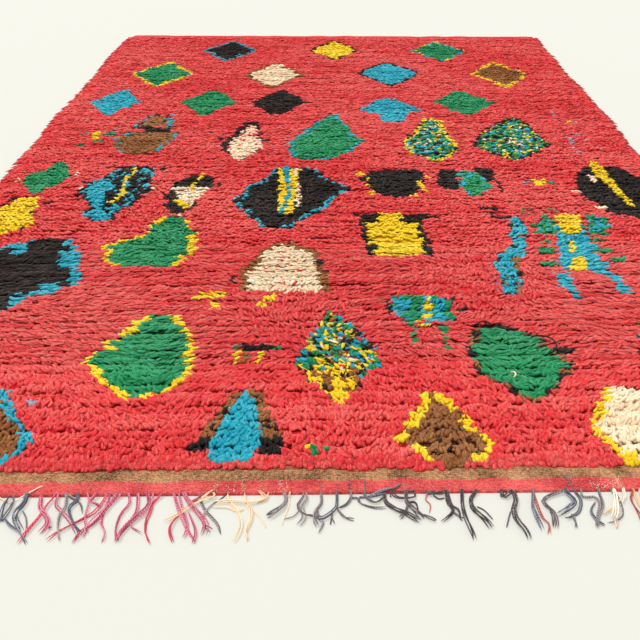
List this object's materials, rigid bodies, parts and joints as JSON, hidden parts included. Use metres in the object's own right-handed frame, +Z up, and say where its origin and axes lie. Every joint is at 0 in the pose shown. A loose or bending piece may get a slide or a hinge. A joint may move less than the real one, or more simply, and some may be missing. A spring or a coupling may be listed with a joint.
{
  "type": "boujaad rug",
  "caption": "Hand-knotted shag rug with lozenge motifs on a red ground, flat-woven ends and a loose warp fringe at one end.",
  "frame": {"origin": "middle of the whole outline, on the floor", "axes": "+X along the knot rows, +Y along the warps and away from the fringed near end, +Z up out of the shag"},
  "size_m": [1.6, 2.484, 0.0282],
  "materials": {
    "pile_wool": "hand-spun wool shag in knot rows, coral red ground",
    "warp_yarn": "loose twisted wool warps in magenta, slate, peach and brown"
  },
  "bodies": {
    "root": {"rug_cloth": "pile_wool", "near_fringe": "warp_yarn"}
  },
  "joints": []
}
